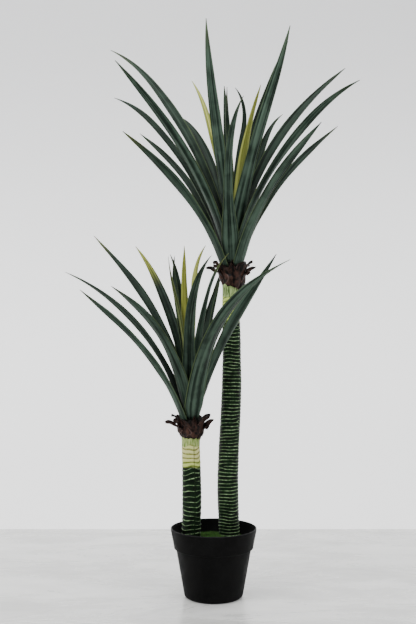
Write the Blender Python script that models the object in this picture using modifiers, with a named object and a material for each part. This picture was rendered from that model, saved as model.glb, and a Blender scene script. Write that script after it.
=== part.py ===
"""Potted yucca: two ringed stems of unequal height in a black plastic pot, each with a collar of dry brown
bracts and a rosette of sword-shaped leaves.

Metres, +Z up. The origin is the middle of the pot's underside. -Y is the front and +X the right. A heading
is the way a leaf points in plan: 0 is right, 90 is back, 180 is left and -90 is the front.
"""

import math

import bmesh
import bpy
import numpy as np

# ---- Pot: a thin turned tub whose rim band stands out from its body ---------------------------------------
POT_HEIGHT = 0.141
POT_RIM_RADIUS = 0.088
POT_BASE_RADIUS = 0.0595
POT_WALL = 0.0026
POT_BASE_ROUND = 0.008
BAND_HEIGHT = 0.041
BAND_STEP = 0.0038
POT_SIDES = 48

# ---- Filling: the growing medium that holds the stems, and the moss laid over it -------------------------
FIT_GAP = 0.0004  # between pieces that touch
SOIL_BELOW_RIM = 0.034
STEM_BURIED = 0.055
MOSS_EDGE = 0.006
MOSS_DOME = 0.010

# ---- Stems: length above the soil, radius at the soil and just under the flare, and place in the pot as a
# share of the pot's inside radius at the stem's buried end
TALL_STEM_LENGTH = 0.563
CROWN_STEP = 0.314  # from the short stem's crown up to the tall one's
TALL_STEM_AT = (0.495, 0.274)
TALL_STEM_RADII = (0.0212, 0.0178)
SHORT_STEM_LENGTH = TALL_STEM_LENGTH - CROWN_STEP
SHORT_STEM_AT = (-0.709, -0.152)
SHORT_STEM_RADII = (0.0192, 0.0172)
STEM_FOOT = 0.7  # radius of the buried end, as a share of the radius at the soil
STEM_FLARE = 0.050  # the stem widens over this much of its top, to carry the leaves
TIP_CONE = 0.045  # the growing tip stands this far above the shoulder, among the leaves
STEM_POINT_EVERY = 0.026
TALL_STEM_WAVE = (-0.004, 2, 0.006)  # side sway, half waves of it, and how far the top stands to the right
SHORT_STEM_WAVE = (0.002, 1, 0.0)

# ---- Leaves: each ring of the rosette is one leaf, and each ring lies inside the one before it ------------
LEAF_THICKNESS = 0.0012
LEAF_WIDTH = 0.026
RING_STEP = LEAF_THICKNESS / 2 + 0.00042  # leaves two rings apart clear each other
HEART_RADIUS = 0.0022  # ring of the innermost leaf
ROOT_LEAN = 19.0  # degrees, of the outermost leaf; the heart stands upright
CHANNEL_RADIUS = 0.034  # a free blade is a shallow channel of this radius
LEAF_WRAP = 0.78  # radians that half a blade may wrap round the rosette
LEAF_BEND = 1.5  # over 1, a leaf bends more near its root
LEAF_AT = (0.0, 0.06, 0.20, 0.42, 0.62, 0.78, 0.90, 0.97, 1.0)
LEAF_WIDTHS = (1.22, 1.20, 0.96, 1.00, 0.86, 0.60, 0.31, 0.11, 0.03)
LEAF_SEGMENTS = (4, 11)  # across and along
CURL_FROM = 0.70  # a tip that curls does so beyond this share of its length

# ---- Bracts: two layers of four dry scales that wrap the flare, with tongues that stick out ---------------
BRACT_THICKNESS = 0.0009
BRACT_LAYER_STEP = 0.0016
BRACT_BELOW_SHOULDER = 0.038
BRACT_ROOT_LEAN = 9.5
BRACT_WRAP = 0.72
BRACT_BEND = 2.3
BRACT_AT = (0.0, 0.20, 0.50, 0.64, 0.82, 1.0)
BRACT_WIDTHS = (0.86, 1.0, 0.98, 0.55, 0.32, 0.08)
BRACT_SEGMENTS = (6, 7)

# A row a leaf, from the outermost ring to the heart: name, heading, lean at the tip, length, width as a share
# of LEAF_WIDTH, sway (how far the heading turns by the tip) and curl (extra lean of the tip). Lengths are in
# thousandths of a metre in the tall crown, and in thousandths of CROWN_STEP in the short one, whose leaves
# have to stay clear of the crown above.
TALL_LEAVES = (
    ("left_front_low", -150, 56, 350, 1.00, 0, 0),
    ("right_front_low", -50, 57, 355, 0.95, 0, 0),
    ("left_back_low", 136, 56, 415, 0.85, 0, 0),
    ("right_low", 25, 52, 395, 0.95, 0, 0),
    ("back_low", 118, 56, 370, 0.90, 0, 0),
    ("front", -92, 45, 365, 1.00, 10, 0),
    ("left", 150, 49, 480, 1.00, 0, 20),
    ("right_back_low", 52, 36, 380, 0.95, 0, 16),
    ("left_front", -150, 48, 460, 1.05, 0, 0),
    ("back_left", 116, 54, 440, 1.00, 0, 10),
    ("right", -22, 52, 443, 1.00, 0, 12),
    ("left_high", 147, 44, 578, 1.10, 0, 24),
    ("right_back", 36, 51, 549, 1.10, 0, 12),
    ("right_front_high", -58, 34, 467, 1.20, 0, 0),
    ("back", 97, 23, 390, 0.85, 0, 0),
    ("top", -122, 18, 466, 1.10, 0, -12),
    ("right_inner", 45, 30, 502, 1.00, 0, 0),
    ("young_left", 142, 17, 381, 0.75, 0, 30),
    ("young_right", -48, 21, 333, 0.80, 0, 0),
    ("hooked", 62, 16, 345, 0.70, 0, -80),
    ("heart", 180, 0, 330, 0.65, 0, 0),
)
SHORT_LEAVES = (
    ("left_front_low", -150, 54, 1115, 0.90, 0, 0),
    ("back_low", 80, 55, 1115, 0.90, 0, 0),
    ("right_front", -60, 55, 1382, 1.10, 26, 12),
    ("left_low", 156, 60, 1360, 0.90, 0, 8),
    ("right", -28, 37, 1175, 1.00, 0, 0),
    ("left_back_low", 118, 55, 1115, 0.90, 0, 0),
    ("front_left", -122, 65, 1182, 1.05, 0, 6),
    ("right_back", 48, 38, 1051, 0.90, 0, 0),
    ("left_high", 145, 49, 1430, 1.00, 0, 0),
    ("front", -82, 41, 1124, 1.15, 12, 0),
    ("back", 55, 27, 898, 0.90, 0, 0),
    ("thin_right", -40, 21, 1032, 0.75, 0, 8),
    ("left", 135, 39, 1201, 1.00, 0, 6),
    ("thin_left", -118, 15, 962, 0.50, -45, 0),
    ("back_inner", 115, 21, 994, 0.80, 0, 0),
    ("young_front", -105, 12, 1003, 0.70, 0, 0),
    ("heart", 160, 8, 962, 0.80, 0, 10),
    ("young_right", -20, 3, 1013, 0.70, 0, 8),
)
# A row a bract: name, heading, lean at the tip, length in millimetres and how far its foot is raised. The
# outer ones lean out more, so that they stay clear of the inner ones.
INNER_BRACTS = (
    ("left_front", -135, 40, 50, 2),
    ("right_front", -45, 34, 52, 4),
    ("right_back", 45, 46, 54, 0),
    ("left_back", 135, 42, 52, 3),
)
OUTER_BRACTS = (
    ("front", -92, 66, 46, 3),
    ("right", 0, 88, 55, 0),
    ("back", 90, 80, 50, 4),
    ("left", 178, 94, 58, 2),
)
SHORT_BRACTS_TURNED = 14  # degrees that the short stem's collar is turned from the tall one's


def clear_scene():
    for old in list(bpy.data.objects):
        bpy.data.objects.remove(old)


def new_collection(name):
    group = bpy.data.collections.new(name)
    bpy.context.scene.collection.children.link(group)
    return group


def make_material(name, colour, roughness):
    material = bpy.data.materials.new(name)
    material.use_nodes = True
    shader = material.node_tree.nodes["Principled BSDF"]
    shader.inputs["Base Color"].default_value = (*colour, 1.0)
    shader.inputs["Roughness"].default_value = roughness
    shader.inputs["Metallic"].default_value = 0.0
    return material


def add_piece(name, data, group, material):
    piece = bpy.data.objects.new(name, data)
    group.objects.link(piece)
    data.materials.append(material)
    return piece


# ---- Turned pieces ----------------------------------------------------------------------------------------
def turned(name, profile, group, material):
    """A solid of revolution. The profile is (radius, height), from the axis round to the axis again, and it
    runs down the outer side."""
    mesh = bpy.data.meshes.new(name)
    edges = [(i, i + 1) for i in range(len(profile) - 1)]
    mesh.from_pydata([(radius, 0.0, height) for radius, height in profile], edges, [])
    piece = add_piece(name, mesh, group, material)
    screw = piece.modifiers.new("Turn", "SCREW")
    screw.steps = screw.render_steps = POT_SIDES
    screw.use_merge_vertices = True
    screw.merge_threshold = 0.00005
    screw.use_smooth_shade = True
    return piece


POT_TAPER = (POT_RIM_RADIUS - BAND_STEP - POT_BASE_RADIUS) / POT_HEIGHT
BAND_FOOT = POT_HEIGHT - BAND_HEIGHT
SOIL_TOP = POT_HEIGHT - SOIL_BELOW_RIM


def body_radius(height):
    """Outer radius of the pot's body. The rim band adds BAND_STEP to it."""
    return POT_BASE_RADIUS + POT_TAPER * height


def base_round(inset, start, end, steps=3):
    """The rounded edge of the pot's base, seen in section, or an arc that lies inside it by inset."""
    middle = body_radius(POT_BASE_ROUND) - POT_BASE_ROUND
    radius = POT_BASE_ROUND - inset
    turns = [math.radians(start + (end - start) * i / steps) for i in range(steps + 1)]
    return [(middle + radius * math.sin(turn), POT_BASE_ROUND - radius * math.cos(turn)) for turn in turns]


def make_pot(group, material):
    lip = POT_WALL / 2
    inner_ledge = BAND_FOOT + POT_WALL
    inside = base_round(POT_WALL, 0, 90) + [
        (body_radius(inner_ledge) - POT_WALL, inner_ledge),
        (body_radius(inner_ledge) - POT_WALL + BAND_STEP, inner_ledge + BAND_STEP / 2),
        (POT_RIM_RADIUS - POT_WALL, POT_HEIGHT - lip),
    ]
    rim = [(POT_RIM_RADIUS - 1.5 * lip, POT_HEIGHT), (POT_RIM_RADIUS - lip / 2, POT_HEIGHT)]
    outside = [
        (POT_RIM_RADIUS, POT_HEIGHT - lip),
        (body_radius(BAND_FOOT) + BAND_STEP, BAND_FOOT + BAND_STEP / 4),
        (body_radius(BAND_FOOT) + BAND_STEP * 0.75, BAND_FOOT),
        (body_radius(BAND_FOOT), BAND_FOOT - BAND_STEP / 4),
    ]
    profile = [(0.0, POT_WALL)] + inside + rim + outside + base_round(0.0, 90, 0) + [(0.0, 0.0)]
    return turned("pot", profile, group, material)


def inside_radius(height):
    """Radius that just clears the inner wall of the pot's body."""
    return body_radius(height) - POT_WALL - FIT_GAP


def make_soil(group, material):
    inset = POT_WALL + FIT_GAP
    top = [(0.0, SOIL_TOP), (inside_radius(SOIL_TOP), SOIL_TOP)]
    return turned("soil", top + base_round(inset, 90, 0) + [(0.0, inset)], group, material)


def make_moss(group, material, rows=6):
    low = SOIL_TOP + FIT_GAP
    edge = inside_radius(low)
    top = []
    for row in range(rows + 1):
        swell = math.cos(math.pi / 2 * row / rows) ** 2
        top.append((edge * row / rows, low + MOSS_EDGE + MOSS_DOME * swell))
    return turned("moss", top + [(edge, low), (0.0, low)], group, material)


# ---- Stems ------------------------------------------------------------------------------------------------
def ring_radius(leaves, ring):
    """Radius of a leaf's ring in its rosette, at the leaf's root. Ring 0 is the outermost."""
    return HEART_RADIUS + RING_STEP * (len(leaves) - 1 - ring)


def shoulder_radius(leaves):
    return ring_radius(leaves, 0) + LEAF_THICKNESS / 2


def buried_radius(stem, above):
    """Below the soil, where the height above it is negative, the stem narrows to its foot."""
    return stem["radii"][0] * (1 + (1 - STEM_FOOT) * above / STEM_BURIED)


def stem_radius(stem, above):
    """Radius at a height above the soil: an even taper, then the flare up to the shoulder."""
    if above < 0:
        return buried_radius(stem, above)
    foot, neck = stem["radii"]
    share = above / stem["length"]
    rise = max(1 - (stem["length"] - above) / STEM_FLARE, 0.0)
    return foot + (neck - foot) * share + (shoulder_radius(stem["leaves"]) - neck) * rise**1.5


def stem_centre(stem, above):
    """Middle of the stem at a height above the soil. It is straight and upright where it is buried and where
    it carries the collar."""
    share = min(max(above / (stem["length"] - STEM_FLARE), 0.0), 1.0)
    sway, half_waves, lean = stem["wave"]
    wave = sway * math.sin(math.pi * half_waves * share) * min(1.0, 6 * share, 6 * (1 - share))
    reach = inside_radius(SOIL_TOP - STEM_BURIED)
    x, y = (reach * along for along in stem["at"])
    return x + wave + lean * share * share * (3 - 2 * share), y, SOIL_TOP + above


def make_stem(stem, group, material):
    """A curve with a round bevel, whose points carry the stem's radius, up to the tip of the growing cone."""
    flare = stem["length"] - STEM_FLARE
    steps = round(flare / STEM_POINT_EVERY)
    heights = [FIT_GAP - STEM_BURIED] + [flare * step / steps for step in range(steps)]
    heights += [flare + STEM_FLARE * step / 5 for step in range(6)]
    points = [(*stem_centre(stem, height), stem_radius(stem, height)) for height in heights]
    x, y, z, _ = points[-1]
    points.append((x, y, z + TIP_CONE, HEART_RADIUS - LEAF_THICKNESS / 2 - FIT_GAP))
    curve = bpy.data.curves.new(stem["name"], "CURVE")
    curve.dimensions = "3D"
    curve.bevel_depth = 1.0
    curve.bevel_resolution = 6
    curve.use_fill_caps = True
    line = curve.splines.new("POLY")
    line.points.add(len(points) - 1)
    for place, (x, y, z, radius) in zip(line.points, points):
        place.co = (x, y, z, 1.0)
        place.radius = radius
    return add_piece(stem["name"], curve, group, material)


def drill(piece, stem, low, high, radii, cutters):
    """Cuts the stem's hole in a piece with a hidden cone; radii are those at its low and high end."""
    name = f"{piece.name}_hole_for_{stem['name']}"
    mesh = bpy.data.meshes.new(name)
    shape = bmesh.new()
    bmesh.ops.create_cone(
        shape, cap_ends=True, segments=32, radius1=radii[0], radius2=radii[1], depth=high - low
    )
    shape.to_mesh(mesh)
    shape.free()
    cutter = bpy.data.objects.new(name, mesh)
    cutter.location = (*stem_centre(stem, -STEM_BURIED)[:2], (low + high) / 2)
    cutter.hide_render = True
    cutter.display_type = "WIRE"
    cutters.objects.link(cutter)
    hole = piece.modifiers.new("Hole", "BOOLEAN")
    hole.operation = "DIFFERENCE"
    hole.solver = "EXACT"
    hole.object = cutter


def drill_socket(soil, stem, cutters):
    """A blind hole that the stem's buried foot fits; the cutter runs on past the soil's top."""
    beyond = MOSS_EDGE
    radii = [buried_radius(stem, above) + FIT_GAP for above in (-STEM_BURIED, beyond)]
    drill(soil, stem, SOIL_TOP - STEM_BURIED, SOIL_TOP + beyond, radii, cutters)


def drill_moss(moss, stem, cutters):
    radius = stem["radii"][0] + 2 * FIT_GAP
    drill(moss, stem, SOIL_TOP - MOSS_EDGE, POT_HEIGHT, (radius, radius), cutters)


# ---- Blades: leaves and bracts are strips along a spine that leans out from the stem -----------------------
SPINE = np.linspace(0, 1, 201)  # shares of a spine's length at which it is worked out


def leaf_lean(root_lean, tip_lean, curl):
    """Lean along a leaf: it bends most near the root, and the last part leans by curl more."""
    late = ((SPINE - CURL_FROM) / (1 - CURL_FROM)).clip(0)
    return root_lean + (tip_lean - root_lean) * (1 - (1 - SPINE) ** LEAF_BEND) + curl * late**1.5


def spine_line(root, heading, lean, sway, length):
    """Points, lean and heading along a spine that starts at root (radius, height). Its lean is given all
    along, and its heading turns by sway towards the tip."""
    lean = np.radians(lean)
    turn = np.radians(heading + sway * SPINE**2)
    along = np.stack([np.sin(lean) * np.cos(turn), np.sin(lean) * np.sin(turn), np.cos(lean)])
    climbed = np.cumsum((along[:, 1:] + along[:, :-1]) / 2, axis=1) * length / (len(SPINE) - 1)
    start = np.array([root[0] * math.cos(turn[0]), root[0] * math.sin(turn[0]), root[1]])
    return start[:, None] + np.insert(climbed, 0, 0, axis=1), lean, turn


def blade_mesh(name, spine, half_width, wrap, channel, segments):
    """A grid laid along a spine. Across, it is an arc round the rosette's axis, or of the channel's radius
    where that is less, so that blades of different rings lie one inside the other."""
    mesh = bpy.data.meshes.new(name)
    grid = bmesh.new()
    bmesh.ops.create_grid(grid, x_segments=segments[0], y_segments=segments[1], size=1.0)
    grid.to_mesh(mesh)
    grid.free()
    flat = np.empty(len(mesh.vertices) * 3)
    mesh.vertices.foreach_get("co", flat)
    across, along = flat[0::3], (flat[1::3] + 1) / 2

    points, lean, turn = spine
    middle = np.stack([np.interp(along, SPINE, line) for line in points])
    lean, turn = np.interp(along, SPINE, lean), np.interp(along, SPINE, turn)
    side = np.stack([-np.sin(turn), np.cos(turn), 0 * turn])
    inward = np.stack([-np.cos(lean) * np.cos(turn), -np.cos(lean) * np.sin(turn), np.sin(lean)])
    radius = np.minimum(np.hypot(middle[0], middle[1]) / np.cos(lean).clip(0.2), channel)
    angle = across * np.minimum(half_width(along) / radius, wrap)
    shape = middle + side * radius * np.sin(angle) + inward * radius * (1 - np.cos(angle))
    mesh.vertices.foreach_set("co", shape.T.ravel())
    return mesh


def add_blade(name, mesh, thickness, foot, group, material):
    blade = add_piece(name, mesh, group, material)
    blade.location = foot
    mesh.shade_smooth()
    shell = blade.modifiers.new("Thickness", "SOLIDIFY")
    shell.thickness = thickness
    shell.offset = 0.0
    return blade


def make_leaf(stem, ring, row, foot, group, material):
    name, heading, lean, length, width, sway, curl = row
    leaves = stem["leaves"]
    radius = ring_radius(leaves, ring)
    cone_slope = TIP_CONE / (shoulder_radius(leaves) - HEART_RADIUS)
    height = (shoulder_radius(leaves) - radius + LEAF_THICKNESS) * cone_slope + FIT_GAP
    root_lean = ROOT_LEAN * radius / ring_radius(leaves, 0)
    length *= stem["leaf_unit"]
    spine = spine_line((radius, height), heading, leaf_lean(root_lean, lean, curl), sway, length)

    def half_width(along):
        return np.interp(along, LEAF_AT, LEAF_WIDTHS) * width * LEAF_WIDTH / 2

    mesh = blade_mesh(name, spine, half_width, LEAF_WRAP, CHANNEL_RADIUS, LEAF_SEGMENTS)
    return add_blade(f"{stem['crown']}_leaf_{name}", mesh, LEAF_THICKNESS, foot, group, material)


def make_bract(stem, layer, row, foot, group, material):
    """All the bracts of a layer lie on one cone round the flare, from which their tongues bend out."""
    name, heading, tip_lean, length, raised = row
    heading += stem["bracts_turned"]
    lowest = stem_radius(stem, stem["length"] - BRACT_BELOW_SHOULDER) + FIT_GAP + BRACT_THICKNESS / 2
    radius = lowest + BRACT_LAYER_STEP * layer + raised / 1000 * math.tan(math.radians(BRACT_ROOT_LEAN))
    lean = BRACT_ROOT_LEAN + (tip_lean - BRACT_ROOT_LEAN) * SPINE**BRACT_BEND
    spine = spine_line((radius, raised / 1000 - BRACT_BELOW_SHOULDER), heading, lean, 0, length / 1000)

    def half_width(along):
        return np.interp(along, BRACT_AT, BRACT_WIDTHS) * BRACT_WRAP * radius * 1.2

    mesh = blade_mesh(name, spine, half_width, BRACT_WRAP, math.inf, BRACT_SEGMENTS)
    return add_blade(f"{stem['crown']}_bract_{name}", mesh, BRACT_THICKNESS, foot, group, material)


def main():
    clear_scene()
    plant = new_collection("potted_yucca")
    cutters = new_collection("cutters")
    bark = make_material("stem", (0.03, 0.10, 0.04), 0.6)
    mature = make_material("leaf", (0.035, 0.075, 0.055), 0.45)
    young = make_material("young_leaf", (0.30, 0.33, 0.04), 0.45)
    dry = make_material("bract", (0.045, 0.022, 0.017), 0.6)
    tall = {
        "name": "tall_stem", "crown": "tall", "leaves": TALL_LEAVES, "length": TALL_STEM_LENGTH,
        "at": TALL_STEM_AT, "radii": TALL_STEM_RADII, "wave": TALL_STEM_WAVE, "bracts_turned": 0,
        "leaf_unit": 0.001,
    }
    short = {
        "name": "short_stem", "crown": "short", "leaves": SHORT_LEAVES, "length": SHORT_STEM_LENGTH,
        "at": SHORT_STEM_AT, "radii": SHORT_STEM_RADII, "wave": SHORT_STEM_WAVE,
        "bracts_turned": SHORT_BRACTS_TURNED, "leaf_unit": CROWN_STEP / 1000,
    }

    make_pot(plant, make_material("pot_plastic", (0.012, 0.012, 0.013), 0.55))
    soil = make_soil(plant, make_material("soil", (0.05, 0.035, 0.025), 0.95))
    moss = make_moss(plant, make_material("moss", (0.05, 0.16, 0.03), 0.95))
    for stem in (tall, short):
        drill_socket(soil, stem, cutters)
        drill_moss(moss, stem, cutters)
        make_stem(stem, plant, bark)
        foot = stem_centre(stem, stem["length"])
        for ring, row in enumerate(stem["leaves"]):
            make_leaf(stem, ring, row, foot, plant, young if row[0].startswith("young") else mature)
        for layer, rows in enumerate((INNER_BRACTS, OUTER_BRACTS)):
            for row in rows:
                make_bract(stem, layer, row, foot, plant, dry)


main()
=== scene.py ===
# %% [markdown]
# # A potted yucca, finished around its CAD frame
# The plant is a yucca: two ringed stems of unequal height in a black plastic pot, each with a
# collar of dry brown bracts and a rosette of sword-shaped leaves. The CAD model says where everything is.
# This lesson gives each piece the surface, relief and colour that the plain solids lack.

# %% Load the frame
import math

import bpy
import numpy as np
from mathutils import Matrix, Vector


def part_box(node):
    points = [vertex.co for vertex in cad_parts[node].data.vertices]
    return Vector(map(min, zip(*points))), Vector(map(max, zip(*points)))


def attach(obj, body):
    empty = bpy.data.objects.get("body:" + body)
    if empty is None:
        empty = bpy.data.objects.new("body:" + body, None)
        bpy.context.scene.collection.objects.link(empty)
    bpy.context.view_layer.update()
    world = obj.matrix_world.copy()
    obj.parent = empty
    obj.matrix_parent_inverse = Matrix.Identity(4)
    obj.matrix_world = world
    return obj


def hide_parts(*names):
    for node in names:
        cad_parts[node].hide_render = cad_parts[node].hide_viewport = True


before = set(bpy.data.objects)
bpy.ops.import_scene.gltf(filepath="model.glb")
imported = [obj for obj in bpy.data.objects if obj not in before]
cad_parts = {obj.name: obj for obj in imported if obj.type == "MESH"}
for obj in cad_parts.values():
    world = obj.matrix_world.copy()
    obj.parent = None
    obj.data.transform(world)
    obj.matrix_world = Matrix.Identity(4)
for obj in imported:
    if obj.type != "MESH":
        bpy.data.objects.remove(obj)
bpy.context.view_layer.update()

# %% [markdown]
# ## Camera
# A product picture of a tall plant is taken from about half its height with a level camera, so that the stems
# stay upright in the view and the pot is seen a little from above.

# %% Camera
CAMERA_AT = (-0.0116, -1.977, 0.582)
LENS_MM = 55.67
SENSOR_MM = 36.0

camera = bpy.data.objects.new("camera", bpy.data.cameras.new("camera"))
camera.data.lens = LENS_MM
camera.data.sensor_width = SENSOR_MM
camera.location = CAMERA_AT
camera.rotation_euler = (math.pi / 2, 0.0, 0.0)
bpy.context.scene.collection.objects.link(camera)
bpy.context.scene.camera = camera
print("camera at", CAMERA_AT, "lens", LENS_MM)


# %% [markdown]
# ## Colour words and small node helpers
# Paint charts give colours as 0-255 triples, while a shader wants linear light. One helper turns the first
# into the second, and a few more keep the node trees below short enough to read.

# %% Colour and node helpers
def paint(red, green, blue):
    """Linear colour of an sRGB triple: ((c + 0.055) / 1.055) to the power 2.4, or c / 12.92 when dark."""
    share = np.array([red, green, blue]) / 255.0
    linear = np.where(share <= 0.04045, share / 12.92, ((share + 0.055) / 1.055) ** 2.4)
    return (*(float(part) for part in linear), 1.0)


class Tree:
    """A node tree with short calls. add() places a node, sets its inputs by name and links any socket."""

    def __init__(self, nodes_of):
        self.nodes, self.links = nodes_of.nodes, nodes_of.links

    def feed(self, socket, value):
        """Links a socket, or sets a plain value."""
        if isinstance(value, bpy.types.NodeSocket):
            self.links.new(value, socket)
        elif value is not None:
            socket.default_value = value

    def add(self, kind, inputs=(), **settings):
        node = self.nodes.new(kind)
        for name, value in settings.items():
            setattr(node, name, value)
        for name, value in dict(inputs).items():
            self.feed(node.inputs[name], value)
        return node

    def maths(self, operation, first, second=None):
        """One Math node. The numbers may be sockets or plain values."""
        node = self.add("ShaderNodeMath", operation=operation)
        self.feed(node.inputs[0], first)
        self.feed(node.inputs[1], second)
        return node.outputs[0]

    def times(self, first, second):
        return self.maths("MULTIPLY", first, second)

    def weighed(self, first, weight, second, other_weight):
        """first x weight + second x other weight."""
        return self.maths("ADD", self.times(first, weight), self.times(second, other_weight))

    def blend(self, share, low, high):
        """A colour between low and high, by share."""
        node = self.add("ShaderNodeMix", data_type="RGBA")
        for index, value in ((0, share), (6, low), (7, high)):
            self.feed(node.inputs[index], value)
        return node.outputs[2]

    def span(self, value, low, high, to_low=0.0, to_high=1.0, smooth=True):
        """Value carried from the range low..high to the range to_low..to_high, and held there."""
        node = self.add("ShaderNodeMapRange")
        node.interpolation_type = "SMOOTHSTEP" if smooth else "LINEAR"
        for index, number in enumerate((value, low, high, to_low, to_high)):
            self.feed(node.inputs[index], number)
        return node.outputs[0]

    def attribute(self, name):
        """A number that the mesh carries at each of its points."""
        return self.add("ShaderNodeAttribute", attribute_name=name).outputs["Fac"]

    def place(self):
        """The object's own coordinates, in metres."""
        return self.add("ShaderNodeTexCoord").outputs["Object"]

    def split(self, vector):
        """The X, Y and Z of a vector."""
        return self.add("ShaderNodeSeparateXYZ", {"Vector": vector}).outputs

    def join(self, **parts):
        """The vector with these X, Y and Z."""
        return self.add("ShaderNodeCombineXYZ", parts).outputs[0]

    def noise(self, vector, scale, detail=2.0, roughness=0.5, distortion=0.0):
        inputs = {"Vector": vector, "Scale": scale, "Detail": detail, "Roughness": roughness,
                  "Distortion": distortion}
        return self.add("ShaderNodeTexNoise", inputs).outputs["Fac"]


def new_group(name, inputs, outputs):
    """An empty shader node group. Inputs are name: start value, and outputs are names of numbers."""
    group = bpy.data.node_groups.new(name, "ShaderNodeTree")
    for label, start in inputs.items():
        socket = group.interface.new_socket(label, in_out="INPUT", socket_type="NodeSocketFloat")
        socket.default_value = start
    for label in outputs:
        group.interface.new_socket(label, in_out="OUTPUT", socket_type="NodeSocketFloat")
    tree = Tree(group)
    given = tree.add("NodeGroupInput").outputs
    result = tree.add("NodeGroupOutput").inputs
    return group, tree, given, result


print("black plastic in linear light:", [round(part, 4) for part in paint(20, 20, 21)])

# %% [markdown]
# ## Three effects that the finishes share
# Real leaves and bracts have streaks that run lengthwise, and a thin margin of another colour. All the
# surfaces have a broad unevenness of colour and a fine grain. Each effect is a node group, built once and
# placed in the materials with values of their own.

# %% Group: lengthwise streaks and margin
def build_streaks():
    """Streaks are noise stretched along the blade: it is read at (across x Count, along x Slow, Seed).
    Margin is 1 where the distance from the middle line passes Margin From, as a share of the half width."""
    inputs = {"Across": 0.5, "Along": 0.5, "Seed": 0.0, "Count": 12.0, "Slow": 1.5, "Margin From": 0.9}
    group, tree, given, result = new_group("lengthwise_streaks", inputs, ("Streak", "Margin"))
    across = tree.times(given["Across"], given["Count"])
    along = tree.times(given["Along"], given["Slow"])
    seed = tree.times(given["Seed"], 17.0)
    streak = tree.noise(tree.join(X=across, Y=along, Z=seed), 1.0, detail=3.0, roughness=0.62)
    tree.feed(result["Streak"], tree.span(streak, 0.3, 0.7))
    off_middle = tree.maths("ABSOLUTE", tree.maths("SUBTRACT", given["Across"], 0.5))
    half_widths = tree.times(off_middle, 2.0)
    start = tree.maths("SUBTRACT", given["Margin From"], 0.12)
    tree.feed(result["Margin"], tree.span(half_widths, start, given["Margin From"]))
    return group


def build_mottle():
    """Broad unevenness: noise on the object's own coordinates, stretched to the whole range 0..1."""
    group, tree, given, result = new_group("mottle", {"Scale": 20.0, "Seed": 0.0}, ("Mottle",))
    shifted = tree.add("ShaderNodeVectorMath", operation="ADD")
    tree.feed(shifted.inputs[0], tree.place())
    tree.feed(shifted.inputs[1], tree.join(Z=given["Seed"]))
    noise = tree.noise(shifted.outputs[0], given["Scale"], detail=3.0, distortion=0.4)
    tree.feed(result["Mottle"], tree.span(noise, 0.32, 0.68))
    return group


def build_grain():
    """Fine grain: two noises, one 3.1 times as fine as the other, averaged for height and cut for specks."""
    group, tree, given, result = new_group("fine_grain", {"Scale": 900.0, "Speck From": 0.66},
                                           ("Height", "Speck"))
    place = tree.place()
    coarse = tree.noise(place, given["Scale"], detail=1.0)
    fine = tree.noise(place, tree.times(given["Scale"], 3.1), detail=1.0)
    both = tree.times(tree.maths("ADD", coarse, fine), 0.5)
    tree.feed(result["Height"], both)
    end = tree.maths("ADD", given["Speck From"], 0.08)
    tree.feed(result["Speck"], tree.span(coarse, given["Speck From"], end))
    return group


STREAKS, MOTTLE, GRAIN = build_streaks(), build_mottle(), build_grain()


class Finish(Tree):
    """A material with one Principled shader, and short calls for the shared groups and the shader's inputs.
    An input's name is written with underscores for its spaces."""

    def __init__(self, name, roughness, specular):
        self.material = bpy.data.materials.new(name)
        self.material.use_nodes = True
        super().__init__(self.material.node_tree)
        self.give(Roughness=roughness, Specular_IOR_Level=specular)

    def feed_named(self, node, inputs):
        for name, value in inputs.items():
            self.feed(node.inputs[name.replace("_", " ")], value)
        return node.outputs

    def give(self, **inputs):
        """Feeds the shader and returns the material."""
        self.feed_named(self.nodes["Principled BSDF"], inputs)
        return self.material

    def group(self, group, **inputs):
        return self.feed_named(self.add("ShaderNodeGroup", node_tree=group), inputs)

    def mottle(self, scale, seed=0.0):
        return self.group(MOTTLE, Scale=scale, Seed=seed)["Mottle"]

    def grain(self, scale, speck_from):
        return self.group(GRAIN, Scale=scale, Speck_From=speck_from)

    def bump(self, height, distance, strength=1.0):
        """Normal of a surface whose height changes by distance metres as height goes from 0 to 1."""
        inputs = {"Height": height, "Distance": distance, "Strength": strength}
        return self.add("ShaderNodeBump", inputs).outputs["Normal"]


print("shared groups:", [group.name for group in bpy.data.node_groups])

# %% [markdown]
# ## Floor, backdrop and light
# A plant is shown on a pale, faintly glossy floor before a plain wall. Both are flat sheets. The wall is seen
# from its front only: its back is clear, so that the plant can be looked at from behind as well. The light
# is a large soft panel to the left and above, a weaker one to the right, one overhead, and a pale surround.

# %% Floor and wall
WALL_AT = 0.61
STAGE_REACH = 3.4
SHEET_STEPS = 4


def flat_sheet(name, corner, right, up, finish):
    """Points corner + s right + t up, with s and t from 0 to 1 in quarters."""
    row = SHEET_STEPS + 1
    share = np.linspace(0, 1, row)
    s, t = (part[..., None] for part in np.meshgrid(share, share))
    points = np.array(corner) + s * np.array(right) + t * np.array(up)
    first = (np.arange(SHEET_STEPS)[:, None] * row + np.arange(SHEET_STEPS)[None, :]).ravel()
    quads = np.stack([first, first + 1, first + row + 1, first + row], axis=1)
    mesh = bpy.data.meshes.new(name)
    mesh.from_pydata(points.reshape(-1, 3).tolist(), [], quads.tolist())
    mesh.materials.append(finish)
    sheet = bpy.data.objects.new(name, mesh)
    bpy.context.scene.collection.objects.link(sheet)
    return sheet


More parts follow.
